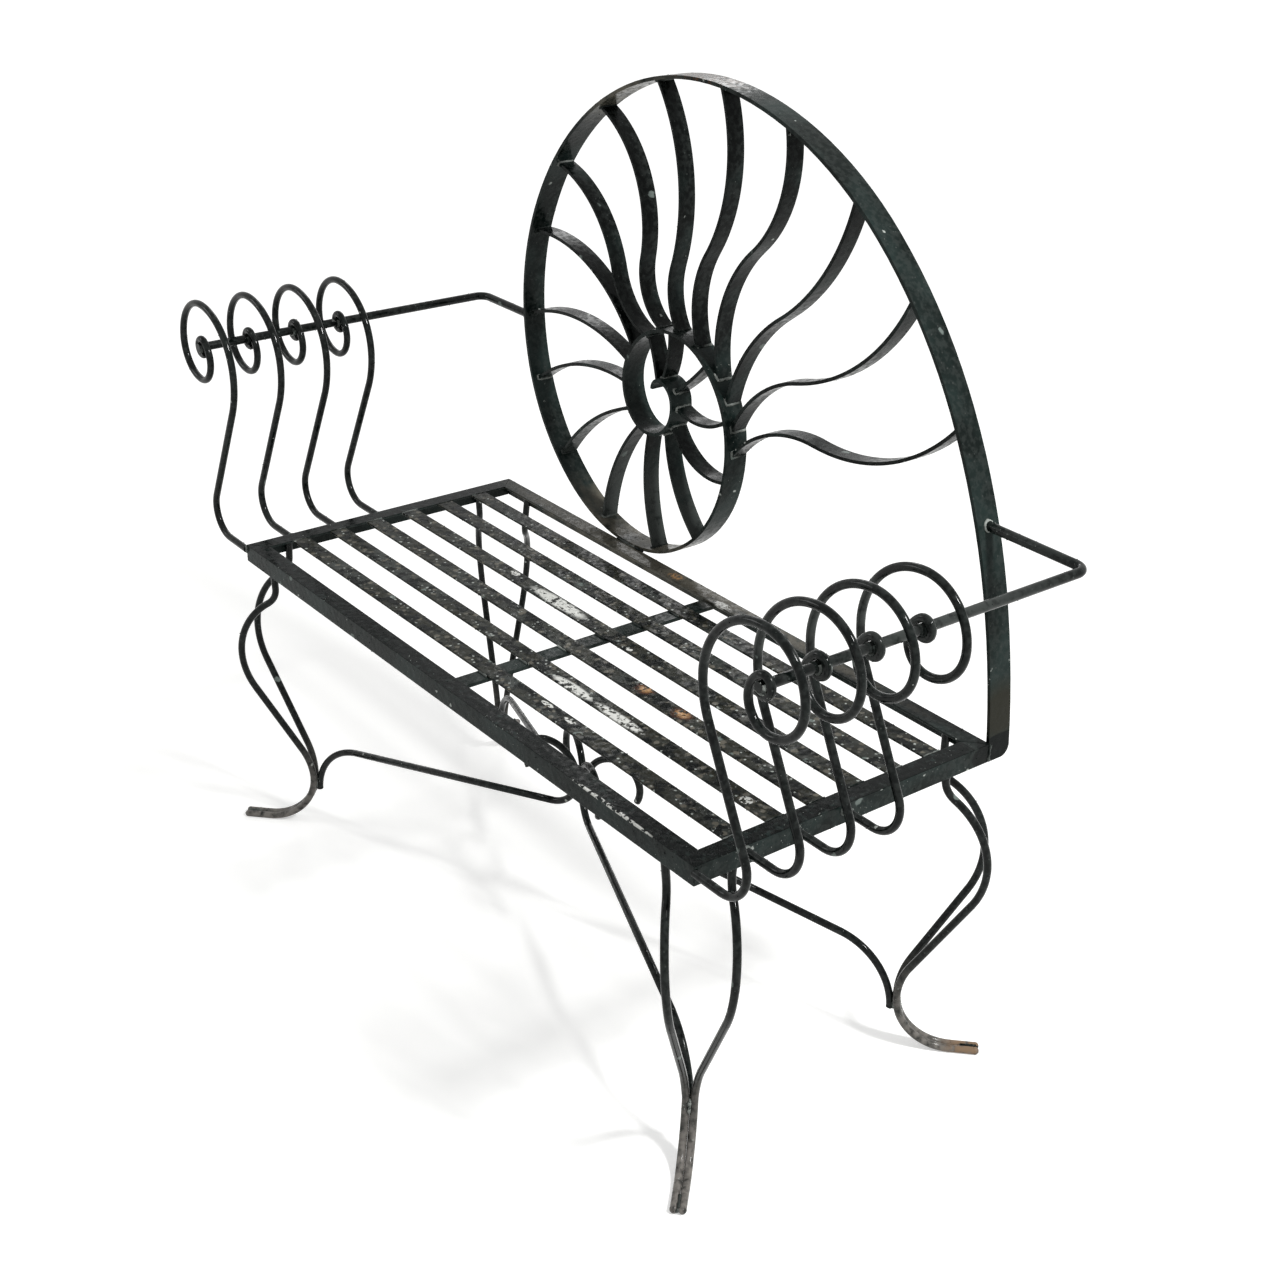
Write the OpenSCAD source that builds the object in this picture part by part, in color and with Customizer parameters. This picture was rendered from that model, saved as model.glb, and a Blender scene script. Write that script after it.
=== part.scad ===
// Wrought iron loveseat with a spiral back.
// A flat seat of slats in an angle iron frame stands on four legs of paired bent rods. A flat bar
// rises from the seat's right rear corner, sweeps over the back and winds into a spiral, and curved
// ribs join each turn of the spiral to the next. Rod scrolls on both sides carry the arm rods.
// Every piece is cut and bent from plain bar stock and welded where it touches its neighbour.
//
// The origin is on the ground, under the middle of the whole loveseat. Seen from the front, +X
// points to the right. +Y points to the back and +Z up.

/* [Seat] */
// Width of the seat frame over its outer faces
seat_w = 1016; // [980:2:1060]
// Depth of the seat frame over its outer faces
seat_d = 450; // [430:2:480]
// Height of the seat's top face above the ground
seat_h = 453; // [448:1:500]
// Width of each leg of the angle iron in the frame
angle_leg = 25; // [22:0.5:28]
// Thickness of the angle iron, and of the slats that lie flush in it
angle_t = 3; // [2.5:0.1:3.5]
// Width of a seat slat
slat_w = 25; // [20:0.5:35]
// Width of the cross bar under the slats
cross_w = 25; // [20:0.5:40]
// Thickness of the cross bar
cross_t = 5; // [3:0.5:8]
// Distance of the cross bar's left edge from the seat's middle
cross_place = 0; // [-40:1:40]

/* [Spiral back] */
// Width of the spiral bar, front to back
coil_w = 35; // [30:1:40]
// Thickness of the spiral bar
coil_t = 5; // [4:0.5:6]
// How far the spiral's lowest point lies below the seat's top face
coil_dip = 1; // [0.5:0.5:4]
// Radius of the rounded corner at the bar's foot
coil_corner_r = 15; // [5:1:20]

/* [Ribs] */
// Width of a rib, front to back
rib_w = 25; // [15:1:28]
// Thickness of a rib
rib_t = 5; // [4:0.5:6]
// Distance of a rib's rear edge from the spiral bar's rear edge
rib_inset = 1.5; // [0:0.5:2]

/* [Arms] */
// Diameter of the arm rods
arm_d = 12; // [10:0.5:14]
// Distance of an arm rod's centre line from the frame's outer face
arm_out = 91; // [86:1:98]
// Height of the left arm rod's centre line above the seat's top face
arm_rise_left = 268; // [255:1:275]
// Height of the right arm rod's centre line above the seat's top face
arm_rise_right = 256; // [250:1:270]
// Length of the arm rod in front of the foremost scroll's centre
arm_overhang = 7; // [6:1:40]
// Radius of the arm rod's bend at the back
arm_bend_r = 16; // [14:1:17]
// Diameter of the scroll rods
scroll_d = 10; // [8:0.5:11]
// Distance from one scroll to the next
scroll_pitch = 72; // [60:1:80]
// Depth of a scroll's start below the seat's top face
scroll_drop = 7; // [6:0.5:14]

/* [Legs] */
// Diameter of the leg rods
leg_d = 10; // [8:0.5:11]
// Distance of a leg rod's top from the corner, along its rail
leg_spread = 63; // [56:1:80]
// Distance of the ankle from the frame's corner, inward along the diagonal
ankle_in = 79; // [72:1:86]
// Radius of the bend from the ankle to the toe
foot_r = 73; // [65:1:85]
// Length of the straight toe
toe_run = 33; // [20:1:45]
// Angle by which the rod under a side rail bows out sideways
side_bow = 19; // [10:1:25]
// Depth of the flat that the floor has worn under each toe
toe_wear = 0.4; // [0.3:0.05:1]
// Diameter of the brace rods
brace_d = 10; // [8:0.5:11]
// Height above the ground at which a brace's upright end stops
brace_foot_h = 48; // [44:1:60]
// Length of the brace's upright end that is welded to the leg
brace_stem = 8; // [6:1:20]
// Radius of a brace's bend near the leg
brace_bend_r = 88; // [70:1:90]
// Angle at which a brace climbs towards the seat's middle
brace_climb = 7; // [0:0.5:10]
// Radius of the brace's curl where it meets the other braces
curl_r = 47; // [40:1:50]
// Radius of the curl's end
curl_end_r = 36; // [30:1:40]

/* [Hidden] */
// Clearance between pieces that are welded face to face.
fit = 0.1;
// How far a cutting tool runs past what it cuts.
overrun = 20;
// How much slimmer every second step of a bar's route is, and how far its neighbours lap over it.
hair = 0.2;
lap = 1;
// Steps that a full turn is drawn in, along a bar's route and around a rod's section.
$fn = 180;
section_steps = 48;

// Paint over the iron, as the photo shows it.
enamel = "#2c312f";
worn_enamel = "#3d403c";
seat_enamel = "#4a4640";

slat_count = 6;
scroll_count = 4;

// Half sizes of the seat frame, and the levels that other pieces meet.
half_w = seat_w / 2;
half_d = seat_d / 2;
flange_under = seat_h - angle_t - fit;
frame_under = seat_h - angle_leg;

// The spiral bar is welded to the rear rail's back.
coil_y = half_d + fit;
coil_mid_y = coil_y + coil_w / 2;

// The paired rods of a leg touch each other at the ankle.
pair_offset = (leg_d + fit) / 2;
ankle_z = foot_r + leg_d / 2 - toe_wear;

// The loveseat's middle, front to back, lies half way between the front toes and the bar's rear edge.
toe_reach = (foot_r + toe_run - ankle_in + pair_offset) / sqrt(2) + leg_d / 2;
seat_shift = (toe_reach - fit - coil_w) / 2;

// A route is a list of steps: [turn, radius] for a bend, turning left where turn is above 0,
// or [0, length] for a straight run. A place on a route is [across, up, heading], with the
// heading in degrees from the across axis.
function bend_centre(at, step) =
    let (side = sign(step[0]) * step[1])
    [at[0] - side * sin(at[2]), at[1] + side * cos(at[2])];

function step_end(at, step) =
    step[0] == 0
    ? [at[0] + step[1] * cos(at[2]), at[1] + step[1] * sin(at[2]), at[2]]
    : let (
        side = sign(step[0]) * step[1],
        centre = bend_centre(at, step),
        heading = at[2] + step[0]
    )
    [centre[0] + side * sin(heading), centre[1] - side * cos(heading), heading];

function places(at, steps, i = 0) =
    i == len(steps) ? [at] : concat([at], places(step_end(at, steps[i]), steps, i + 1));

function last_place(at, steps) = let (all = places(at, steps)) all[len(all) - 1];

// A bar's section: [diameter] for a rod, or [thickness, width] for a flat bar, less what it is
// slimmed by.
module section(size, slimmer) {
    if (len(size) == 1)
        circle(d = size[0] - slimmer, $fn = section_steps);
    else
        square(size - [1, 1] * slimmer, center = true);
}

// One step of a route, lengthened by a lap before and after it.
module swept_step(at, step, size, slimmer, before, after) {
    turn = step[0];
    if (turn == 0)
        translate([at[0], at[1], 0])
            rotate([90, 0, at[2] + 90])
                translate([0, 0, -before])
                    linear_extrude(step[1] + before + after)
                        section(size, slimmer);
    else {
        turn_before = before / step[1] * 180 / PI;
        turn_after = after / step[1] * 180 / PI;
        first = turn > 0 ? at[2] - 90 - turn_before : at[2] + 90 + turn - turn_after;
        translate(concat(bend_centre(at, step), [0]))
            rotate([0, 0, first])
                rotate_extrude(angle = abs(turn) + turn_before + turn_after)
                    translate([step[1], 0])
                        section(size, slimmer);
    }
}

// A whole route in this module's X and Y. Every second step is a hair slimmer and its neighbours
// lap over its ends, so that the steps join into one solid.
module swept(at, steps, size) {
    stops = places(at, steps);
    last = len(steps) - 1;
    for (i = [0 : last])
        if (i % 2 == 0)
            swept_step(stops[i], steps[i], size, 0, i == 0 ? 0 : lap, i == last ? 0 : lap);
        else
            swept_step(stops[i], steps[i], size, hair, 0, 0);
}

// A route in an upright plane, across along X and up along Z.
module upright(at, steps, size) {
    rotate([90, 0, 0])
        swept(at, steps, size);
}

// A flat bar on its edge: its thickness lies across the route and its width along Y.
module flat_bar(at, steps, thickness, width, front_y) {
    translate([0, front_y + width / 2, 0])
        upright(at, steps, [thickness, width]);
}

// A tool as wide as the bars that ends pieces at a curved bar's face.
module round_tool(centre, radius, front_y, width) {
    translate([centre[0], front_y + width + overrun, centre[1]])
        rotate([90, 0, 0])
            cylinder(r = radius, h = width + 2 * overrun);
}

// Moves the seat's own middle to its place beside the origin.
module placed() {
    translate([0, seat_shift, 0])
        children();
}

// The spiral: how far each arc turns, and its radius as a share of the seat's width.
coil_lean = 94;
coil_turns = [9, 14, 22, 34, 38, 38, 38, 38, 40, 45, 45, 50, 45, 60, 60, 60, 90, 80, 90];
coil_radius_shares = [
    1.103, 0.843, 0.637, 0.504, 0.401, 0.386, 0.332, 0.291, 0.231, 0.205,
    0.188, 0.135, 0.111, 0.101, 0.068, 0.053, 0.049, 0.028, 0.015
];
coil_arcs = [for (i = [0 : len(coil_turns) - 1]) [coil_turns[i], coil_radius_shares[i] * seat_w]];

// The bar's outer face stands flush with the side rail, and its foot level with the rail's lower edge.
coil_foot = [half_w - coil_t / 2, frame_under, coil_lean];

// The straight run at the foot is as long as it takes to bring the spiral's lowest point onto the rail.
coil_arc_stops = places(coil_foot, coil_arcs);
function arc_at(heading) =
    [for (i = [0 : len(coil_arcs) - 1])
        if (heading >= coil_arc_stops[i][2] && heading < coil_arc_stops[i + 1][2]) i][0];
low_arc = arc_at(360);
low_z = bend_centre(coil_arc_stops[low_arc], coil_arcs[low_arc])[1] - coil_arcs[low_arc][1] - coil_t / 2;
coil_foot_run = (seat_h - coil_dip - low_z) / sin(coil_lean);
coil_start = step_end(coil_foot, [0, coil_foot_run]);
coil_stops = places(coil_start, coil_arcs);

function coil_radius(i) = coil_arcs[i][1];
function coil_centre(i) = bend_centre(coil_stops[i], coil_arcs[i]);
function coil_point(heading) =
    let (i = arc_at(heading), centre = coil_centre(i))
    [centre[0] + coil_radius(i) * sin(heading), centre[1] - coil_radius(i) * cos(heading)];

// The heading at which an arc passes a height, on the rising side or the falling side.
function passing(i, z, rising) =
    let (across = acos((coil_centre(i)[1] - z) / coil_radius(i)))
    rising ? across : 360 - across;

// The first arc that passes a height on that side.
function passing_arc(z, rising) =
    [for (i = [0 : len(coil_arcs) - 1])
        let (heading = passing(i, z, rising))
        if (heading >= coil_stops[i][2] && heading < coil_stops[i + 1][2]) i][0];

// Each rib starts on the outside of one turn and ends on the inside of the turn around it. Its
// places on the spiral are given by the bar's heading there.
rib_roots = [
    450, 462, 477, 491, 516, 539, 558, 578, 601, 613,
    638, 667, 692, 712, 755, 776, 810, 847, 911, 969
];
rib_tips = [
    118, 132, 146, 162, 177, 195, 214, 234, 252, 274,
    291, 314, 342, 373, 401, 438, 469, 503, 547, 574
];
// How much of a rib's chord swells the other way next to its root, as a swan's neck does.
rib_swan_shares = [
    0.39, 0.39, 0.44, 0.52, 0.37, 0.27, 0.32, 0.37, 0, 0,
    0, 0, 0, 0, 0, 0, 0, 0, 0, 0
];
// The rise of each swell, as a share of its own chord.
rib_bow_shares = [
    0.124, 0.115, 0.095, 0.142, 0.13, 0.126, 0.177, 0.137, 0.149, 0.113,
    0.105, 0.084, 0.093, 0.088, 0.098, 0.18, 0.15, 0.03, 0.07, 0.03
];
rib_y = coil_y + coil_w - rib_inset - rib_w;

// A scroll leaves the frame's outer face level, bends up and over, hooks back under the arm rod
// and ends in an eye around it. The two straight runs bring the eye's centre onto the arm rod.
eye_r = (arm_d + scroll_d) / 2 + fit;
belly_r = 38;
belly_turn = 116.5;
shoulder_bends = [[-26.5, 112], [-90, 87], [-90, 63], [-90, 49], [-150, 32]];
eye_turn = -255;
scroll_start = [fit, seat_h - scroll_drop, 0];
belly_end = last_place(scroll_start, [[belly_turn, belly_r]]);
shoulder_end = last_place(belly_end, shoulder_bends);
eye_centre = bend_centre(shoulder_end, [eye_turn, eye_r]);
function scroll_steps(arm_rise) =
    let (
        riser_run = (seat_h + arm_rise - eye_centre[1]) / sin(belly_turn),
        level_run = arm_out - eye_centre[0] - riser_run * cos(belly_turn)
    )
    concat(
        [[0, level_run], [belly_turn, belly_r], [0, riser_run]],
        shoulder_bends,
        [[eye_turn, eye_r]]
    );
function scroll_place(i) = i * scroll_pitch;

// A leg rod's top seen from the ankle, along the corner's diagonal and sideways from it. The rod
// stands beside the rail's upright flange.
rod_inset = angle_t + fit + leg_d / 2;
leg_top_out = ankle_in - (leg_spread + rod_inset) / sqrt(2);
leg_top_side = (leg_spread - rod_inset) / sqrt(2) - pair_offset;
leg_rise = flange_under - ankle_z;

// The bends of a leg rod from the hip down: how far each turns, and its radius as a share of the
// rod's rise.
hip_turn = 56;
shin_turn = -30;
hip_r_share = 0.08;
thigh_r_share = 0.29;
knee_r_share = 0.3;
heel_r_share = 0.28;

// A brace lies in the upright plane from the hollow between a leg's two rods to the seat's middle.
// Where it bends in below the ankle, the rods bend out, so it stands where the two bends touch.
brace_gap = (leg_d + brace_d) / 2 + fit;
brace_nest = sqrt(brace_gap * brace_gap - pair_offset * pair_offset);
brace_below = max(0, ankle_z - brace_foot_h - brace_stem);
touch_span = foot_r + brace_nest + brace_bend_r;
brace_in = sqrt(touch_span * touch_span - brace_below * brace_below) - foot_r - brace_bend_r;
brace_foot = [half_w, half_d] - [1, 1] * (ankle_in + brace_in) / sqrt(2);
brace_meet = [1, 1] * (brace_d + fit) / 2;
brace_span = norm(brace_foot - brace_meet);
brace_aim = brace_meet - brace_foot;
brace_start = [0, brace_foot_h, 90];
brace_bends = [[0, brace_stem], [brace_climb - 90, brace_bend_r]];
brace_bend_end = last_place(brace_start, brace_bends);
brace_reach = brace_span - curl_r * (1 - sin(brace_climb));
brace_run = (brace_reach - brace_bend_end[0]) / cos(brace_climb);
curl_turn = 180;
curl_end_turn = 110;
brace_steps = concat(brace_bends, [[0, brace_run], [curl_turn, curl_r], [curl_end_turn, curl_end_r]]);

// The corners by name, with the sides they lie on.
CORNERS = [
    ["front_left", -1, -1],
    ["front_right", 1, -1],
    ["rear_left", -1, 1],
    ["rear_right", 1, 1]
];

function rib_name(i) = str("rib_", i < 10 ? "0" : "", i);

// An angle iron rail seen from above at the front: mitred at both ends, upright flange outside.
module rail(length, across) {
    translate([0, -across, 0])
        intersection() {
            translate([-length / 2, 0, seat_h])
                rotate([90, 0, 90])
                    linear_extrude(length)
                        polygon([
                            [0, 0],
                            [0, -angle_leg],
                            [angle_t, -angle_leg],
                            [angle_t, -angle_t],
                            [angle_leg, -angle_t],
                            [angle_leg, 0]
                        ]);
            translate([0, 0, frame_under])
                linear_extrude(angle_leg)
                    polygon([
                        [-length / 2, 0],
                        [length / 2, 0],
                        [length / 2 - angle_leg, angle_leg],
                        [angle_leg - length / 2, angle_leg]
                    ]);
        }
}

module rail_front() {
    color(enamel)
        placed()
            rail(seat_w, half_d);
}

module rail_rear() {
    color(enamel)
        placed()
            mirror([0, 1, 0])
                rail(seat_w, half_d);
}

// The side rails' mitres stand off the long rails' by the clearance.
module rail_left() {
    color(enamel)
        placed()
            rotate([0, 0, -90])
                rail(seat_d - 2 * fit, half_w);
}

module rail_right() {
    color(enamel)
        placed()
            rotate([0, 0, 90])
                rail(seat_d - 2 * fit, half_w);
}

// A slat between the side rails, flush with their tops.
module slat(i) {
    opening = seat_d - 2 * angle_leg;
    gap = (opening - slat_count * slat_w) / (slat_count + 1);
    slat_y = opening / 2 - i * (slat_w + gap);
    slat_length = seat_w - 2 * angle_leg - 2 * fit;
    color(seat_enamel)
        placed()
            translate([-slat_length / 2, slat_y, seat_h - angle_t])
                cube([slat_length, slat_w, angle_t]);
}

// The cross bar lies under the slats and the rails' flat flanges.
module cross_bar() {
    cross_length = seat_d - 2 * (angle_t + fit);
    color(enamel)
        placed()
            translate([cross_place, -cross_length / 2, flange_under - cross_t])
                cube([cross_w, cross_length, cross_t]);
}

// The corner block that rounds the bar's foot at the back.
module foot_corner_tool() {
    corner_y = coil_y + coil_w;
    translate([half_w, corner_y, frame_under])
        rotate([0, -90, 0])
            translate([0, 0, -overrun])
                difference() {
                    translate([-overrun, -coil_corner_r, 0])
                        cube([overrun + coil_corner_r, overrun + coil_corner_r, 2 * overrun + coil_t]);
                    translate([coil_corner_r, -coil_corner_r, -overrun])
                        cylinder(r = coil_corner_r, h = 4 * overrun + coil_t);
                }
}

// The spiral bar, from its foot beside the right rear corner to the curl in the middle.
module spiral_bar() {
    color(enamel)
        placed()
            difference() {
                flat_bar(coil_foot, concat([[0, coil_foot_run]], coil_arcs), coil_t, coil_w, coil_y);
                foot_corner_tool();
            }
}

// A rib between two turns of the spiral, bent to two arcs that meet on its chord and cut to the
// bar's faces at both ends.
module rib(i) {
    root = coil_point(rib_roots[i]);
    tip = coil_point(rib_tips[i]);
    chord = norm(tip - root);
    aim = atan2(tip[1] - root[1], tip[0] - root[0]);
    swing = 4 * atan(2 * rib_bow_shares[i]);
    bend_r = chord / (2 * sin(swing / 2));
    swan = rib_swan_shares[i];
    steps = swan == 0
        ? [[swing, bend_r]]
        : [[-swing, bend_r * swan], [swing, bend_r * (1 - swan)]];
    start = [root[0], root[1], swan == 0 ? aim - swing / 2 : aim + swing / 2];
    root_arc = arc_at(rib_roots[i]);
    tip_arc = arc_at(rib_tips[i]);
    color(worn_enamel)
        placed()
            intersection() {
                difference() {
                    flat_bar(start, steps, rib_t, rib_w, rib_y);
                    round_tool(coil_centre(root_arc), coil_radius(root_arc) + coil_t / 2 + fit, rib_y, rib_w);
                }
                round_tool(coil_centre(tip_arc), coil_radius(tip_arc) - coil_t / 2 - fit, rib_y, rib_w);
            }
}

// An arm rod on the right side: from the front, along the scrolls' eyes, round a bend and in to
// the spiral bar's face.
module arm(rising, arm_rise) {
    arm_x = half_w + arm_out;
    arm_z = seat_h + arm_rise;
    side = rising ? 1 : -1;
    face_arc = passing_arc(arm_z, rising);
    bar_x = coil_point(passing(face_arc, arm_z, rising))[0];
    arm_front = -half_d - arm_overhang;
    difference() {
        translate([0, 0, arm_z])
            mirror([rising ? 0 : 1, 0, 0])
                swept(
                    [arm_x, arm_front, 90],
                    [
                        [0, coil_mid_y - arm_bend_r - arm_front],
                        [90, arm_bend_r],
                        [0, arm_x - arm_bend_r - side * bar_x]
                    ],
                    [arm_d]
                );
        round_tool(
            coil_centre(face_arc),
            coil_radius(face_arc) + coil_t / 2 + fit,
            coil_mid_y - arm_d / 2,
            arm_d
        );
    }
}

module arm_left() {
    color(enamel)
        placed()
            arm(false, arm_rise_left);
}

module arm_right() {
    color(enamel)
        placed()
            arm(true, arm_rise_right);
}

// One scroll on the right side, counted from the front.
module scroll(i, arm_rise) {
    translate([half_w, scroll_place(i) - half_d, 0])
        upright(scroll_start, scroll_steps(arm_rise), [scroll_d]);
}

module scroll_left(i) {
    color(enamel)
        placed()
            mirror([1, 0, 0])
                scroll(i, arm_rise_left);
}

module scroll_right(i) {
    color(enamel)
        placed()
            scroll(i, arm_rise_right);
}

// One rod of the right rear leg. Side is 1 for the rod under the long rail and -1 for the rod
// under the side rail. Its bends lie in a plane that stands on the ankle, is turned by the bow
// and leans sideways to the rod's top. A straight run on the shin brings it in to the ankle.
module leg_rod(side) {
    bow = side == 1 ? 0 : side_bow;
    top_out = leg_top_out * cos(bow) + leg_top_side * sin(bow);
    top_side = leg_top_side * cos(bow) - leg_top_out * sin(bow);
    lean = atan(top_side / leg_rise);
    drop = leg_rise / cos(lean);
    hip_bends = [
        [hip_turn, hip_r_share * leg_rise],
        [-hip_turn, thigh_r_share * leg_rise],
        [shin_turn, knee_r_share * leg_rise]
    ];
    heel_bend = [-shin_turn, heel_r_share * leg_rise];
    hip_end = last_place([top_out, drop, -90], hip_bends);
    heel_end = last_place(hip_end, [heel_bend]);
    shin_run = -heel_end[0] / cos(hip_end[2]);
    hip_run = heel_end[1] + shin_run * sin(hip_end[2]);
    toe_steps = [[90, foot_r], [0, toe_run]];
    toe = last_place([0, ankle_z, -90], toe_steps);
    intersection() {
        translate([half_w, half_d, 0])
            rotate([0, 0, 45])
                translate([-ankle_in, side * pair_offset, 0]) {
                    translate([0, 0, ankle_z])
                        rotate([0, 0, side * bow])
                            rotate([-side * lean, 0, 0])
                                upright(
                                    [top_out, drop + overrun, -90],
                                    concat([[0, hip_run + overrun]], hip_bends, [[0, shin_run], heel_bend]),
                                    [leg_d]
                                );
                    translate([0, 0, ankle_z])
                        sphere(d = leg_d + hair);
                    upright([0, ankle_z, -90], toe_steps, [leg_d]);
                    translate([toe[0], 0, toe[1]])
                        sphere(d = leg_d + hair);
                }
        cube([2 * seat_w, 2 * seat_d, flange_under]);
    }
}

// The brace of the right rear leg.
module brace() {
    translate([brace_foot[0], brace_foot[1], 0])
        rotate([0, 0, atan2(brace_aim[1], brace_aim[0])])
            upright(brace_start, brace_steps, [brace_d]);
}

// Turns a piece of the right rear leg into the same piece of another corner's leg.
module at_corner(corner) {
    placed()
        scale([corner[1], corner[2], 1])
            children();
}

rail_front();
rail_rear();
rail_left();
rail_right();
for (i = [1 : slat_count])
    slat(i);
cross_bar();
spiral_bar();
for (i = [1 : len(rib_roots)])
    rib(i - 1);
arm_left();
arm_right();
for (i = [1 : scroll_count])
    scroll_left(i - 1);
for (i = [1 : scroll_count])
    scroll_right(i - 1);
for (corner = CORNERS)
    at_corner(corner)
            leg_rod(1);
for (corner = CORNERS)
    at_corner(corner)
            leg_rod(-1);
for (corner = CORNERS)
    at_corner(corner)
            brace();
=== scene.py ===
# %% [markdown]
# # A wrought iron loveseat
#
# The real seat is a garden bench of plain bar stock: angle iron, flat bar and round rod, bent cold
# and arc welded, then brushed over with thick black-green enamel that years outdoors have dulled
# and chipped. The solids come finished from the CAD frame, so nothing here decides where a bar
# goes. This lesson dresses them: the paint and its wear, the weld beads, and the plain studio that
# shows them.
#
# The frame is loaded first. Its box is kept, and later bounds the weld beads and the spatter.

# %% Load the CAD frame
import math

import bmesh
import bpy
import numpy as np
from mathutils import Matrix, Vector
from mathutils.bvhtree import BVHTree


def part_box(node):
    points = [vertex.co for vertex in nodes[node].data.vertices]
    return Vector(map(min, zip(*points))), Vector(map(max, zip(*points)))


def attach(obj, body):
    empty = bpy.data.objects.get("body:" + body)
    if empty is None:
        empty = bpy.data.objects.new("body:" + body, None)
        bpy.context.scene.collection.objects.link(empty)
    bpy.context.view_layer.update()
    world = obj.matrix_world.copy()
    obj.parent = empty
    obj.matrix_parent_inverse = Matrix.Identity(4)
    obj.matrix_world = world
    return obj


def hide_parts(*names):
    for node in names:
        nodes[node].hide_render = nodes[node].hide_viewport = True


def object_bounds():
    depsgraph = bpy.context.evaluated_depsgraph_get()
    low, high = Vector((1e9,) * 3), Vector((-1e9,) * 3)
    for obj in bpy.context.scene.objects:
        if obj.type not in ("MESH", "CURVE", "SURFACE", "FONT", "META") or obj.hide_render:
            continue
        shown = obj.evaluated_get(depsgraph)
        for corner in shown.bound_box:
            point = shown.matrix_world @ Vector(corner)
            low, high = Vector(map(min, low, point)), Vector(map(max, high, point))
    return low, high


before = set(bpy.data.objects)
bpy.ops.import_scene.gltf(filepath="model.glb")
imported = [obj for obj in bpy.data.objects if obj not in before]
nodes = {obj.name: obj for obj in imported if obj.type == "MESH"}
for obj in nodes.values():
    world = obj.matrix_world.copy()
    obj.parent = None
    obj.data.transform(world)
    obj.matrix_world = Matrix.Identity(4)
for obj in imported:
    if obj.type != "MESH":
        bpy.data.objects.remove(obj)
cad_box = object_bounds()
BODY = "root"
print(f"loaded {len(nodes)} pieces, {(cad_box[1] - cad_box[0]).x:.3f} m wide")

# %% [markdown]
# The seat frame gives the measures that everything else hangs on: its outer size, its top face and
# where its rear rail stands. They are read from the frame, so they follow the CAD.

# %% Measure the seat frame
SEAT_LOW, SEAT_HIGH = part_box("rail_front")
REAR_LOW, REAR_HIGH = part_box("rail_rear")
SEAT_TOP = SEAT_HIGH.z
SEAT_MID_Y = (SEAT_LOW.y + REAR_HIGH.y) / 2
print(f"seat {SEAT_HIGH.x - SEAT_LOW.x:.3f} m wide, top face at {SEAT_TOP:.3f} m")

# %% [markdown]
# Three small helpers serve the whole lesson. Colours are written as the sRGB hex codes that a
# colour picker shows, and Blender's nodes want linear values, so one function turns them. Pattern
# sizes are thought of in millimetres, but a texture node wants repeats per metre. And a node, with
# its settings and links, is one call.

# %% Helpers for colours, sizes and nodes
MM = 0.001


def linear(code):
    """An sRGB hex colour as linear RGBA."""
    parts = [int(code[i : i + 2], 16) / 255 for i in (1, 3, 5)]
    return [*(p / 12.92 if p <= 0.04045 else ((p + 0.055) / 1.055) ** 2.4 for p in parts), 1.0]


def per_metre(size_mm):
    """The scale at which a texture repeats once in that many millimetres."""
    return 1 / (size_mm * MM)


def add_node(tree, kind, inputs=None, **settings):
    """Adds a node. A value that is a socket is linked, and any other is typed in."""
    node = tree.nodes.new(kind)
    for name, value in settings.items():
        setattr(node, name, value)
    for key, value in (inputs or {}).items():
        if isinstance(value, bpy.types.NodeSocket):
            tree.links.new(value, node.inputs[key])
        else:
            node.inputs[key].default_value = value
    return node


print("mid grey is", [round(v, 3) for v in linear("#808080")])

# %% [markdown]
# ## The enamel
#
# Hammered enamel is a thick brushed-on paint that dries in shallow dimples. Up close it is near
# black with a green cast, half glossy, and its wear has three scales: broad dull areas that have
# chalked, small chips that show pale primer, and freckles of rust. Each scale is its own mask here,
# made from noise on Object coordinates, so it stays with the iron. The masks are joined by mixing
# one colour over another, in the order in which weather laid them down.
#
# An alternative is a painted image, but masks cost nothing to keep and fit bars of any length.


# %% Masks of blotches and flecks
BLOTCH_DETAIL = 3.0
GRAINS_PER_FLECK = 3
FLECK_WOBBLE = 0.35
FLECK_CORE = 0.7


def blotches(tree, where, size_mm, start, end, detail=BLOTCH_DETAIL):
    """A soft-edged mask of noise blotches: 0 below start, 1 above end."""
    noise = add_node(
        tree,
        "ShaderNodeTexNoise",
        {"Vector": where, "Scale": per_metre(size_mm), "Detail": detail},
    )
    edge = add_node(
        tree,
        "ShaderNodeMapRange",
        {"Value": noise.outputs["Fac"], "From Min": start, "From Max": end},
        clamp=True,
    )
    return edge.outputs["Result"]


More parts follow.
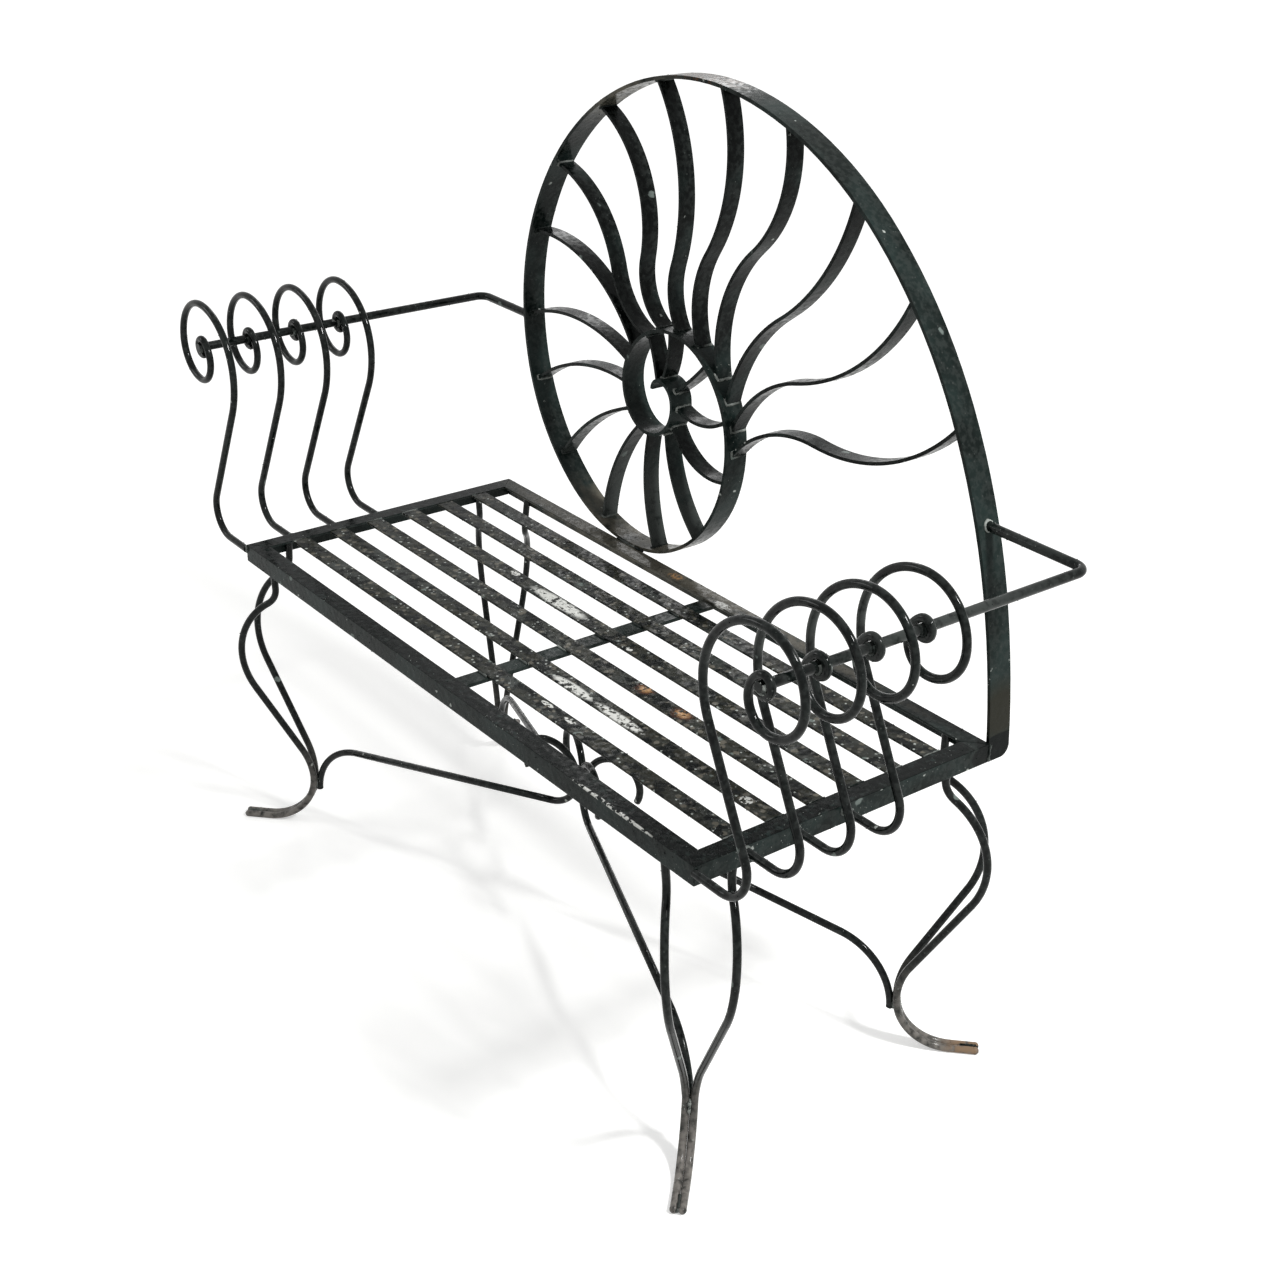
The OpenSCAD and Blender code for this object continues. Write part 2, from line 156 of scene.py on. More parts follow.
def flecks(tree, where, pitch_mm, radius_share, share):
    """A mask of small ragged spots: one in each cell of that pitch, in only that share of them."""
    ragged = add_node(
        tree,
        "ShaderNodeTexNoise",
        {"Vector": where, "Scale": per_metre(pitch_mm / GRAINS_PER_FLECK)},
    )
    wobble = add_node(
        tree,
        "ShaderNodeVectorMath",
        {0: ragged.outputs["Color"], 1: (pitch_mm * MM * FLECK_WOBBLE,) * 3},
        operation="MULTIPLY",
    )
    moved = add_node(
        tree, "ShaderNodeVectorMath", {0: where, 1: wobble.outputs[0]}, operation="ADD"
    )
    cells = add_node(
        tree,
        "ShaderNodeTexVoronoi",
        {"Vector": moved.outputs[0], "Scale": per_metre(pitch_mm)},
    )
    spot = add_node(
        tree,
        "ShaderNodeMapRange",
        {
            "Value": cells.outputs["Distance"],
            "From Min": radius_share,
            "From Max": radius_share * FLECK_CORE,
        },
        clamp=True,
    )
    tint = add_node(tree, "ShaderNodeSeparateColor", {"Color": cells.outputs["Color"]})
    chosen = add_node(
        tree,
        "ShaderNodeMath",
        {0: tint.outputs["Red"], 1: share},
        operation="LESS_THAN",
    )
    kept = add_node(
        tree,
        "ShaderNodeMath",
        {0: spot.outputs["Result"], 1: chosen.outputs[0]},
        operation="MULTIPLY",
    )
    return kept.outputs[0]


print("masks ready: blotches and flecks")

# %% [markdown]
# Wear that sits at one known place gets an ellipsoid mask with a soft rim. Two masks are multiplied
# where both must hold, and one colour is mixed over another where a mask says so. A table of such
# marks is then enough to dress a bar.


# %% Local masks, and how masks and colours join
def around(tree, where, centre, reach, softness):
    """A mask that is 1 within an ellipsoid and fades out over a share of its reach."""
    offset = add_node(tree, "ShaderNodeVectorMath", {0: where, 1: centre}, operation="SUBTRACT")
    scaled = add_node(
        tree, "ShaderNodeVectorMath", {0: offset.outputs[0], 1: reach}, operation="DIVIDE"
    )
    length = add_node(
        tree, "ShaderNodeVectorMath", {0: scaled.outputs[0]}, operation="LENGTH"
    )
    fade = add_node(
        tree,
        "ShaderNodeMapRange",
        {"Value": length.outputs["Value"], "From Min": 1.0, "From Max": 1.0 - softness},
        clamp=True,
    )
    return fade.outputs["Result"]


def over(tree, under, mask, top):
    """The colour top laid over the colour under where the mask is 1."""
    mix = add_node(tree, "ShaderNodeMix", {0: mask, 6: under, 7: top}, data_type="RGBA")
    return mix.outputs[2]


def both(tree, first, second):
    """Where both masks are 1."""
    return add_node(tree, "ShaderNodeMath", {0: first, 1: second}, operation="MULTIPLY").outputs[0]


def marks(tree, where, colour, table):
    """Lays local marks. Each has a middle, a reach, a softness, noise that breaks it, a tint."""
    noises = {}
    for centre, reach, softness, noise, tint in table:
        mask = around(tree, where, centre, reach, softness)
        if noise:
            if noise not in noises:
                noises[noise] = blotches(tree, where, *noise)
            mask = both(tree, mask, noises[noise])
        colour = over(tree, colour, mask, palette[tint])
    return colour


print("masks ready: around and both; colours are laid by over and marks")

# %% [markdown]
# The palette goes from sound paint to bare metal. Each colour is named for what it is on the seat.
# Written once, it keeps the finishes in one family, and a colour is matched to the real one in one
# place.

# %% The palette
palette = {
    "black_green": linear("#090d0c"),
    "deep_green": linear("#101715"),
    "teal_grey": linear("#202b29"),
    "chalky_grey": linear("#383c3a"),
    "scuffed": linear("#67706c"),
    "primer": linear("#a0a5a0"),
    "pale_stain": linear("#d2d3ce"),
    "brown_grey": linear("#26261f"),
    "tan_grey": linear("#5d5a51"),
    "rust_brown": linear("#4a3524"),
    "rust_orange": linear("#b08a62"),
    "rust_rim": linear("#41200f"),
    "bare_steel": linear("#7b7772"),
    "copper_brown": linear("#86705a"),
}
print("the enamel can be mixed from", len(palette), "colours")

# %% [markdown]
# The wear that is the same on every bar comes first. Over the ground coat lie broad chalked areas,
# a fine mottling, long scuffs, chips down to the primer and small dots. The pale chips and dots are
# wear and also painted glints. A start value says how much of the noise counts as worn, and a share
# says how many cells hold a chip.

# %% The worn colour, with painted glints
BROAD_MM = 70
BROAD_FADE = 0.22
MOTTLING = (7, 0.42, 0.62)
MOTTLE_STRENGTH = 0.35
# Each fleck: its pitch in mm, its size as a share of that, a factor on the chip share, its tint.
# the pale flecks are chips and also painted glints
SPOTS = [
    (34, 0.16, 2, "scuffed"),
    (17, 0.15, 1, "primer"),
    (5, 0.26, 0.8, "chalky_grey"),
]


def wear_and_glint_colour(tree, where, mottled, ground, worn, wear_start, chip_share):
    """The ground colour with the wear that every bar has, its pale flecks also painted glints."""
    broad = blotches(tree, where, BROAD_MM, wear_start, wear_start + BROAD_FADE)
    colour = over(tree, palette[ground], broad, palette[worn])
    dulled = add_node(
        tree, "ShaderNodeMath", {0: mottled, 1: MOTTLE_STRENGTH}, operation="MULTIPLY"
    )
    colour = over(tree, colour, dulled.outputs[0], palette["chalky_grey"])
    for pitch_mm, size, factor, tint in SPOTS:
        spots = flecks(tree, where, pitch_mm, size, chip_share * factor)
        colour = over(tree, colour, spots, palette[tint])
    return colour


print("every bar gets", len(SPOTS), "kinds of flecks")

# %% [markdown]
# Two bumps give the paint its skin: dimples about a finger's width apart, which is what hammered
# enamel is named for, and the fine orange peel of thick paint on top of them.

# %% The skin of the paint
DIMPLE_MM = 9
DIMPLE_SOFTNESS = 0.8
PEEL_MM = 1.8
PEEL_DETAIL = 2.0
PEEL_HEIGHT_MM = 0.04


def skin(tree, where, dimple_height_mm):
    """The normals of dimpled paint with orange peel."""
    dimples = add_node(
        tree,
        "ShaderNodeTexVoronoi",
        {"Vector": where, "Scale": per_metre(DIMPLE_MM), "Smoothness": DIMPLE_SOFTNESS},
        feature="SMOOTH_F1",
    )
    dimpled = add_node(
        tree,
        "ShaderNodeBump",
        {
            "Strength": 1.0,
            "Distance": dimple_height_mm * MM,
            "Height": dimples.outputs["Distance"],
        },
    )
    peel = add_node(
        tree,
        "ShaderNodeTexNoise",
        {"Vector": where, "Scale": per_metre(PEEL_MM), "Detail": PEEL_DETAIL},
    )
    peeled = add_node(
        tree,
        "ShaderNodeBump",
        {
            "Strength": 1.0,
            "Distance": PEEL_HEIGHT_MM * MM,
            "Height": peel.outputs["Fac"],
            "Normal": dimpled.outputs["Normal"],
        },
    )
    return peeled.outputs["Normal"]


print("dimples", DIMPLE_MM, "mm apart, peel", PEEL_MM, "mm")

# %% [markdown]
# Every finish on the seat is that enamel with other amounts of wear, so one function builds them
# all. Paint over metal is a dielectric: metallic stays 0 and the IOR is about 1.5. Weather has
# dulled it, most on the flat bars, so the specular level is low there and higher on the rods, and
# the roughness varies with the mottling. Each finish brings its own function for local marks.

# %% The enamel, with its wear as settings
PAINT_IOR = 1.5
BAR_GLOSS = 0.06
BAR_SHINE = (0.16, 0.4)
ROD_GLOSS = 0.13
ROD_SHINE = (0.05, 0.2)


def enamel(
    name,
    ground,
    worn,
    dress,
    wear_start,
    chip_share,
    dimple_height_mm,
    gloss=BAR_GLOSS,
    shine=BAR_SHINE,
):
    """An enamel material. dress lays local marks over the colour, and shine is its roughness."""
    material = bpy.data.materials.new(name)
    material.use_nodes = True
    tree = material.node_tree
    tree.nodes.clear()
    where = add_node(tree, "ShaderNodeTexCoord").outputs["Object"]
    mottled = blotches(tree, where, *MOTTLING)
    colour = wear_and_glint_colour(tree, where, mottled, ground, worn, wear_start, chip_share)
    roughness = add_node(
        tree,
        "ShaderNodeMapRange",
        {"Value": mottled, "To Min": shine[0], "To Max": shine[1]},
    )
    shader = add_node(
        tree,
        "ShaderNodeBsdfPrincipled",
        {
            "Base Color": dress(tree, where, colour),
            "Roughness": roughness.outputs["Result"],
            "IOR": PAINT_IOR,
            "Specular IOR Level": gloss,
            "Normal": skin(tree, where, dimple_height_mm),
        },
    )
    add_node(tree, "ShaderNodeOutputMaterial", {"Surface": shader.outputs["BSDF"]})
    print("made", name)
    return material


print("enamel can be mixed")

# %% [markdown]
# The spiral bar and the rails carry the thickest paint. The top of the spiral's inner face is
# painted almost beige, a painted reflection of pale sky, and a thin line of rust runs along its
# crown. The low turn and the rear rail's top beside it are painted tan, a painted reflection of the
# ground. The bar's foot is brown above the seat frame and black beside it. A line of pale flecks
# along the right half of the front rail's edge is a painted highlight, and the rear rail has a pale
# spot that is a painted highlight and a rusty spot.
#
# The tops of the other rails are painted a darker black than their faces, as painted shade on the
# top faces. They are picked by their height, which only the tops have.

# %% Finish of the spiral bar and the rails
FINE_DETAIL = 4.0
RAGGED = (25, 0.3, 0.6)
# painted reflections: pale sky on the spiral's inner top face, tan ground on the low turn and the
# rear rail's top beside it
SKY_AND_GROUND_REFLECTIONS = [
    ((-0.22, 0.24, 1.08), (0.17, 0.06, 0.07), 0.5, RAGGED, "tan_grey"),
    ((-0.22, 0.23, 0.46), (0.32, 0.08, 0.06), 0.4, RAGGED, "tan_grey"),
]
RAIL_SPOT = (4, 0.42, 0.5, FINE_DETAIL)
RAIL_MARKS = [
    # painted highlight: pale flecks along the front rail's edge
    (
        (0.36, SEAT_LOW.y, SEAT_TOP),
        (0.085, 0.004, 0.003),
        0.2,
        (6, 0.47, 0.51, FINE_DETAIL),
        "pale_stain",
    ),
    # the rear rail's top: tan, a painted reflection, with a pale spot that is a painted highlight,
    # and a rusty spot
    (
        (-0.05, REAR_HIGH.y - 0.012, SEAT_TOP),
        (0.5, 0.016, 0.006),
        0.4,
        (12, 0.33, 0.5),
        "tan_grey",
    ),
    # painted highlight: the pale spot on the rear rail
    (
        (0.035, REAR_LOW.y + 0.006, SEAT_TOP),
        (0.018, 0.008, 0.006),
        0.3,
        RAIL_SPOT,
        "pale_stain",
    ),
    (
        (-0.074, REAR_LOW.y + 0.012, SEAT_TOP),
        (0.016, 0.01, 0.006),
        0.6,
        RAIL_SPOT,
        "rust_orange",
    ),
    # the spiral bar above its foot, and its foot
    ((SEAT_HIGH.x, 0.24, 0.49), (0.03, 0.05, 0.05), 0.5, None, "brown_grey"),
    ((SEAT_HIGH.x, 0.24, 0.44), (0.03, 0.05, 0.022), 0.1, None, "black_green"),
    # rust along the crown
    ((-0.10, 0.24, 1.13), (0.12, 0.04, 0.012), 0.5, (6, 0.45, 0.6), "rust_brown"),
]
TOP_FACE_FROM = SEAT_TOP - 0.4 * MM
TOP_FACE_TO = SEAT_TOP + MM
# noise that breaks up the painted shade on the rail tops
TOP_SHADE_NOISE = (9, 0.3, 0.45)


def shaded_rail_tops(tree, where):
    """A mask of the front and side rails' top faces, where shade is painted."""
    place = add_node(tree, "ShaderNodeSeparateXYZ", {0: where}).outputs
    mask = blotches(tree, where, *TOP_SHADE_NOISE)
    for axis, limit, side in (
        ("Z", TOP_FACE_FROM, "GREATER_THAN"),
        ("Z", TOP_FACE_TO, "LESS_THAN"),
        ("Y", REAR_LOW.y, "LESS_THAN"),
    ):
        test = add_node(tree, "ShaderNodeMath", {0: place[axis], 1: limit}, operation=side)
        mask = both(tree, mask, test.outputs[0])
    return mask


def bar_marks(tree, where, colour):
    """Painted reflections on the spiral and the low turn, painted shade on the rail tops, and the
    single marks with their painted highlights.
    """
    # painted reflections of sky and ground on the spiral and the low turn
    colour = marks(tree, where, colour, SKY_AND_GROUND_REFLECTIONS)
    # painted shade: the front and side rails' tops darkened to black
    colour = over(tree, colour, shaded_rail_tops(tree, where), palette["black_green"])
    return marks(tree, where, colour, RAIL_MARKS)


bar_enamel = enamel(
    "hammered_enamel_on_flat_bar",
    "deep_green",
    "teal_grey",
    bar_marks,
    wear_start=0.42,
    chip_share=0.16,
    dimple_height_mm=0.3,
)

# %% [markdown]
# The ribs are the darkest pieces, and look chalked only low down. The round rods kept more of their
# shine, and the right arm is duller than the rest. Two materials of the same enamel are enough,
# because each exception is one more local mark and not a material of its own.

# %% Finish of the ribs and the rods
LOW_RIBS = [((-0.22, 0.25, 0.50), (0.4, 0.08, 0.10), 0.5, (15, 0.25, 0.45), "chalky_grey")]
ARM_MARGIN = 0.03
ARM_LOW, ARM_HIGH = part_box("arm_right")
DULLED_ARM = [
    (
        (ARM_LOW + ARM_HIGH) / 2,
        (ARM_HIGH - ARM_LOW) / 2 + Vector((ARM_MARGIN, ARM_MARGIN, ARM_MARGIN)),
        0.3,
        (11, 0.3, 0.5),
        "chalky_grey",
    )
]


def rib_marks(tree, where, colour):
    """The lower ribs, chalked."""
    return marks(tree, where, colour, LOW_RIBS)


def rod_marks(tree, where, colour):
    """The right arm, dulled."""
    return marks(tree, where, colour, DULLED_ARM)


rib_enamel = enamel(
    "enamel_on_ribs",
    "black_green",
    "teal_grey",
    rib_marks,
    wear_start=0.5,
    chip_share=0.16,
    dimple_height_mm=0.3,
)
rod_enamel = enamel(
    "enamel_on_round_rod",
    "black_green",
    "deep_green",
    rod_marks,
    wear_start=0.5,
    chip_share=0.14,
    dimple_height_mm=0.15,
    gloss=ROD_GLOSS,
    shine=ROD_SHINE,
)

# %% [markdown]
# The slats are the most worn. Their paint is dull brown grey, speckled all over, the speckle being
# partly wear and partly painted reflections of the dimpled paint. They have three long pale stains
# that look like dried lime, a few small splashes, and two spots of rust with dark rims.
# They sit at measured places on the seat, so they are ellipsoids too. The stains are filled with a
# fine crackle.

# %% Finish of the slats
SEAT_MARK_DEPTH = 0.01
CRACKLE = (6, 0.42, 0.47, FINE_DETAIL)
SPLASHED = (3.5, 0.45, 0.49, FINE_DETAIL)
RUSTED = (5, 0.4, 0.55)
RIM = 1.5
# Places on the seat: x, y, and half the length and width of the mark.
STAINS = [
    (-0.098, 0.026, 0.068, 0.012),
    (0.111, -0.100, 0.046, 0.009),
    (0.205, -0.100, 0.052, 0.009),
]
SPLASHES = [
    (0.437, -0.097, 0.009, 0.008),
    (0.127, -0.150, 0.012, 0.004),
    (0.177, -0.152, 0.012, 0.004),
    (0.067, 0.020, 0.006, 0.004),
    (-0.210, 0.031, 0.010, 0.006),
]
RUST_SPOTS = [(0.165, -0.029, 0.012, 0.010), (0.241, -0.032, 0.014, 0.010)]


def on_seat(place, softness, noise, tint, grown=1.0):
    """A mark on the seat's top face."""
    x, y, half_x, half_y = place
    reach = [grown * size for size in (half_x, half_y, SEAT_MARK_DEPTH)]
    return ((x, y, SEAT_TOP), reach, softness, noise, tint)


SLAT_MARKS = [on_seat(place, 0.3, CRACKLE, "pale_stain") for place in STAINS]
SLAT_MARKS += [on_seat(place, 0.1, SPLASHED, "pale_stain") for place in SPLASHES]
for place in RUST_SPOTS:
    SLAT_MARKS.append(on_seat(place, 0.4, RUSTED, "rust_rim", RIM))
    SLAT_MARKS.append(on_seat(place, 0.6, RUSTED, "rust_orange"))
# speckle over the whole slat: part wear, part painted reflections of the dimples
TAN_SPECKLE = (11, 0.42, 0.5)
DARK_PATCHES = (14, 0.5, 0.56)
PALE_SPECKLE = (8, 0.24, 0.3)


def slat_marks(tree, where, colour):
    """Speckle all over, part wear and part painted reflections of the dimples, then the stains,
    splashes and rust spots.
    """
    colour = over(tree, colour, flecks(tree, where, *TAN_SPECKLE), palette["tan_grey"])
    colour = over(tree, colour, blotches(tree, where, *DARK_PATCHES), palette["black_green"])
    colour = over(tree, colour, flecks(tree, where, *PALE_SPECKLE), palette["primer"])
    return marks(tree, where, colour, SLAT_MARKS)


slat_enamel = enamel(
    "weathered_enamel_on_slats",
    "brown_grey",
    "chalky_grey",
    slat_marks,
    wear_start=0.48,
    chip_share=0.2,
    dimple_height_mm=0.7,
)

# %% [markdown]
# On the toes the paint has rubbed away to grey steel, and further up the shins only spots of it
# show through. Height alone gives that mask, so it fits all eight rods. The rear right toe is
# copper brown.

# %% Finish of the legs
BARE_BELOW = 0.012
PAINTED_ABOVE = 0.15
RUBBED = (9, 0.25, 0.6)
BROWN_TOE = [
    (
        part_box("leg_rear_right_long")[1].xy.to_3d(),
        (0.06, 0.06, 0.03),
        0.4,
        (6, 0.3, 0.5),
        "copper_brown",
    )
]


def leg_marks(tree, where, colour):
    """Rubbed steel that fades out up the shin, and the brown toe."""
    place = add_node(tree, "ShaderNodeSeparateXYZ", {0: where})
    low = add_node(
        tree,
        "ShaderNodeMapRange",
        {"Value": place.outputs["Z"], "From Min": PAINTED_ABOVE, "From Max": BARE_BELOW},
        clamp=True,
    )
    rubbed = both(tree, low.outputs["Result"], blotches(tree, where, *RUBBED))
    colour = over(tree, colour, rubbed, palette["bare_steel"])
    return marks(tree, where, colour, BROWN_TOE)


leg_enamel = enamel(
    "rubbed_enamel_on_legs",
    "black_green",
    "deep_green",
    leg_marks,
    wear_start=0.5,
    chip_share=0.16,
    dimple_height_mm=0.15,
    gloss=ROD_GLOSS,
    shine=ROD_SHINE,
)

# %% [markdown]
# The weld beads are paler than the bars, as if their proud spots had lost their paint first. A high
# chip share gives that. The palest weld is on the foremost eye of the right arm.

# %% Finish of the weld beads
EYE_INSET = 0.006
SCROLL_LOW, SCROLL_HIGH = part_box("scroll_right_1")
PALE_EYE = [
    (
        (ARM_HIGH.x - EYE_INSET, (SCROLL_LOW.y + SCROLL_HIGH.y) / 2, (ARM_LOW.z + ARM_HIGH.z) / 2),
        (0.03, 0.03, 0.03),
        0.3,
        (6, 0.35, 0.5),
        "primer",
    )
]


def weld_marks(tree, where, colour):
    """The pale weld."""
    return marks(tree, where, colour, PALE_EYE)


weld_enamel = enamel(
    "enamel_on_weld_beads",
    "deep_green",
    "primer",
    weld_marks,
    wear_start=0.46,
    chip_share=0.8,
    dimple_height_mm=0.15,
)

# %% Give each piece its finish
FINISHES = [
    ("rail_", bar_enamel),
    ("cross_bar", bar_enamel),
    ("spiral_bar", bar_enamel),
    ("rib_", rib_enamel),
    ("slat_", slat_enamel),
    ("arm_", rod_enamel),
    ("scroll_", rod_enamel),
    ("brace_", rod_enamel),
    ("leg_", leg_enamel),
]


def finish_of(name):
    """The finish of a CAD node, by the start of its name."""
    return [material for start, material in FINISHES if name.startswith(start)][0]


for name, piece in nodes.items():
    for slot in piece.material_slots:
        slot.material = finish_of(name)
print("finishes given to", len(nodes), "pieces")

# %% [markdown]
# ## Eased edges
#
# Hot rolled bar has no sharp edges. The mill leaves them round by a little more than half a
# millimetre, and that narrow round is what catches the light along a rail. It could be faked with a
# shader's bevel node, but the shape would then be missing from the mesh. So each flat bar is
# copied, the copy's loose triangles are merged into whole faces, and a Bevel modifier rounds its
# edges. Weighted Normal keeps the broad faces looking flat. The copy then stands for its node.

# %% Flat bars with eased edges
FLAT_BARS = ("rail_", "cross_bar", "spiral_bar", "rib_", "slat_")
EDGE_MM = 0.7
EDGE_STEPS = 2
MERGE_MM = 0.15
ONE_FLAT = math.radians(0.5)
SHARP_FROM = math.radians(35)


def whole(mesh):
    """A mesh editor that holds a copy of a CAD mesh, merged into whole faces."""
    shape = bmesh.new()
    shape.from_mesh(mesh)
    bmesh.ops.remove_doubles(shape, verts=shape.verts, dist=MERGE_MM * MM)
    bmesh.ops.dissolve_limit(
        shape, angle_limit=ONE_FLAT, verts=shape.verts[:], edges=shape.edges[:]
    )
    return shape


def bake(piece):
    """Turns an object with live modifiers into a plain mesh."""
    depsgraph = bpy.context.evaluated_depsgraph_get()
    mesh = bpy.data.meshes.new_from_object(piece.evaluated_get(depsgraph), depsgraph=depsgraph)
    mesh.name = piece.name
    piece.modifiers.clear()
    piece.data = mesh
    return piece


def new_piece(name, mesh):
    """An object that holds a mesh and stands at the origin."""
    piece = bpy.data.objects.new(name, mesh)
    bpy.context.scene.collection.objects.link(piece)
    return piece


def dressed(name, prefix, shape):
    """A smooth piece made of a mesh editor's shape, in the finish of its node."""
    mesh = bpy.data.meshes.new(prefix + name)
    shape.to_mesh(mesh)
    shape.free()
    mesh.materials.clear()
    mesh.materials.append(finish_of(name))
    mesh.shade_smooth()
    return new_piece(mesh.name, mesh)


def stand_for(piece, name):
    """Lets a piece stand for its CAD node."""
    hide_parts(name)
    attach(piece, BODY)
    return piece


def eased(name):
    """A copy of a flat bar with its edges rounded."""
    piece = dressed(name, "eased_", whole(nodes[name].data))
    edge = piece.modifiers.new("edge", "BEVEL")
    edge.width = EDGE_MM * MM
    edge.segments = EDGE_STEPS
    edge.limit_method = "ANGLE"
    edge.angle_limit = SHARP_FROM
    piece.modifiers.new("flats", "WEIGHTED_NORMAL")
    return stand_for(bake(piece), name)


bars = {name: eased(name) for name in nodes if name.startswith(FLAT_BARS)}
print("eased the edges of", len(bars), "flat bars")

# %% [markdown]
# ## Weld beads
#
# Every joint on the seat is welded, and the beads are left as they came: lumpy, rippled and proud.
# They are small, but they are what tells wrought work from a moulded copy. Placing a hundred of
# them by hand would be slow and would go wrong as soon as a bar moved, so they are found: where the
# corners of one piece lie within half a millimetre of another piece, the two are welded, and the
# corners put in order round their middle are the bead's path.

# %% Find where two pieces touch
TOUCH_MM = 0.45
corner_points = {}
surfaces = {}
for name, piece in nodes.items():
    shape = whole(piece.data)
    corner_points[name] = [corner.co.copy() for corner in shape.verts]
    shape.free()
    surfaces[name] = BVHTree.FromPolygons(
        [corner.co for corner in piece.data.vertices],
        [face.vertices for face in piece.data.polygons],
    )


def touching(name, other):
    """The corners of one piece that lie against another."""
    reach = TOUCH_MM * MM
    return [p for p in corner_points[name] if surfaces[other].find_nearest(p, reach)[0]]


def groups(points, gap_mm):
    """Points sorted into groups that lie further apart than a gap."""
    found = []
    for point in points:
        near = [g for g in found if any((point - q).length < gap_mm * MM for q in g)]
        found = [g for g in found if g not in near] + [sum(near, []) + [point]]
    return found


def in_order(points):
    """Points put in order round their middle, in the plane that fits them best."""
    middle = sum(points, Vector()) / len(points)
    offsets = np.array([point - middle for point in points])
    across, along = np.linalg.svd(offsets)[2][:2]
    turn = np.arctan2(offsets @ along, offsets @ across)
    return [points[i] for i in np.argsort(turn)]


print("touching pieces can be found between", len(surfaces), "surfaces")

# %% [markdown]
# The foot of each brace is dressed here too. In the photograph it runs into the ankle at its weld,
# and the solid's straight foot hangs lower. It could be cut off with a Boolean, but a copy whose
# vertices below the weld are drawn up to it keeps the round bar's faces and its flat end.

# %% Braces trimmed below their welds
CORNERS = ("front_left", "front_right", "rear_left", "rear_right")
TRIM_BELOW_MM = 9
TAIL_LEFT = 0.12
ROD_MERGE_MM = 0.01


def trimmed(corner):
    """A copy of a corner's brace whose foot ends just below its weld."""
    name = f"brace_{corner}"
    welded = touching(f"leg_{corner}_long", name) + touching(f"leg_{corner}_short", name)
    foot_z = sum(point.z for point in welded) / len(welded) - TRIM_BELOW_MM * MM
    shape = bmesh.new()
    shape.from_mesh(nodes[name].data)
    bmesh.ops.remove_doubles(shape, verts=shape.verts, dist=ROD_MERGE_MM * MM)
    for vertex in shape.verts:
        if vertex.co.z < foot_z:
            vertex.co.z = foot_z + (vertex.co.z - foot_z) * TAIL_LEFT
    piece = dressed(name, "trimmed_", shape)
    piece.data.set_sharp_from_angle(angle=SHARP_FROM)
    print(f"{name} now ends at {min(v.co.z for v in piece.data.vertices):.3f} m")
    return stand_for(piece, name)


braces = {f"brace_{corner}": trimmed(corner) for corner in CORNERS}

# %% [markdown]
# A seam is a path, the radius of its bead, and whether the path closes on itself. Bars that end on
# a face are welded all round, and bars that cross have a short bead on each side.

# %% The seams round the ends of bars
RIB_BEAD_MM = 2.0
ROD_BEAD_MM = 1.8
SLAT_BEAD_MM = 0.9
SWOLLEN = 1.55
SPOT_GAP_MM = 30
seams = []


def seam(path, radius_mm, closed=False):
    """Notes a seam down, far enough inside the box that a swollen bead stays in it."""
    rearmost = cad_box[1].y - SWOLLEN * radius_mm * MM
    kept = [Vector((x, min(y, rearmost), z)) for x, y, z in path]
    seams.append((kept, radius_mm, closed))


def all_round(name, other, radius_mm):
    """A bead all round each place where a piece ends on another."""
    for spot in groups(touching(name, other), SPOT_GAP_MM):
        if len(spot) > 3:
            seam(in_order(spot), radius_mm, closed=True)


def starting(start):
    """The names of the pieces that start with a word."""
    return [name for name in nodes if name.startswith(start)]


for name in starting("rib_"):
    all_round(name, "spiral_bar", RIB_BEAD_MM)
for name in starting("arm_"):
    all_round(name, "spiral_bar", ROD_BEAD_MM)
for side in ("left", "right"):
    for name in starting(f"scroll_{side}"):
        all_round(name, f"rail_{side}", ROD_BEAD_MM)
    for name in starting("slat_"):
        all_round(name, f"rail_{side}", SLAT_BEAD_MM)
print(len(seams), "seams round the ends of bars")

# %% [markdown]
# Each leg rod is welded all round its top, where it meets the rails. The two rods of a leg are
# welded along the groove between them at the ankle, again behind the toes, and once across the
# tips. The brace has a short bead on each rod.

# %% The seams on the legs
TOP_RIM_MM = 0.3
ANKLE_LOW, ANKLE_HIGH = 0.060, 0.105
GROOVE_MM = 3.4
BRACE_STEPS_MM = (-8, 0, 8)
TIP_BEAD_MM = 2.9
TIP_BEAD_BACK_MM = 3.5
TOE_STEPS_MM = (4, 14, 24)


def away_from_middle(name):
    """The level direction from the seat's middle to a leg, at 45 degrees."""
    low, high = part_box(name)
    outward = low + high - Vector((0, 2 * SEAT_MID_Y, 0))
    return Vector((math.copysign(1, outward.x), math.copysign(1, outward.y), 0)).normalized()


for name in starting("leg_"):
    rim_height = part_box(name)[1].z - TOP_RIM_MM * MM
    seam(in_order([p for p in corner_points[name] if p.z > rim_height]), ROD_BEAD_MM, closed=True)

for corner in CORNERS:
    rods = long_rod, short_rod = f"leg_{corner}_long", f"leg_{corner}_short"
    outward = away_from_middle(long_rod)
    line = [p for p in touching(long_rod, short_rod) if ANKLE_LOW < p.z < ANKLE_HIGH]
    line.sort(key=lambda p: p.z)
    seam([p + outward * GROOVE_MM * MM for p in line], ROD_BEAD_MM)
    for rod in rods:
        spot = touching(rod, f"brace_{corner}")
        if spot:
            middle = sum(spot, Vector()) / len(spot)
            seam([middle + Vector((0, 0, step * MM)) for step in BRACE_STEPS_MM], ROD_BEAD_MM)
    tips = [max(corner_points[rod], key=outward.dot) for rod in rods]
    seam([tip - outward * TIP_BEAD_BACK_MM * MM for tip in tips], TIP_BEAD_MM)
    toe_top = sum(tips, Vector()) / 2 + Vector((0, 0, GROOVE_MM * MM))
    seam([toe_top - outward * back * MM for back in TOE_STEPS_MM], ROD_BEAD_MM)
print(len(seams), "seams with the legs")

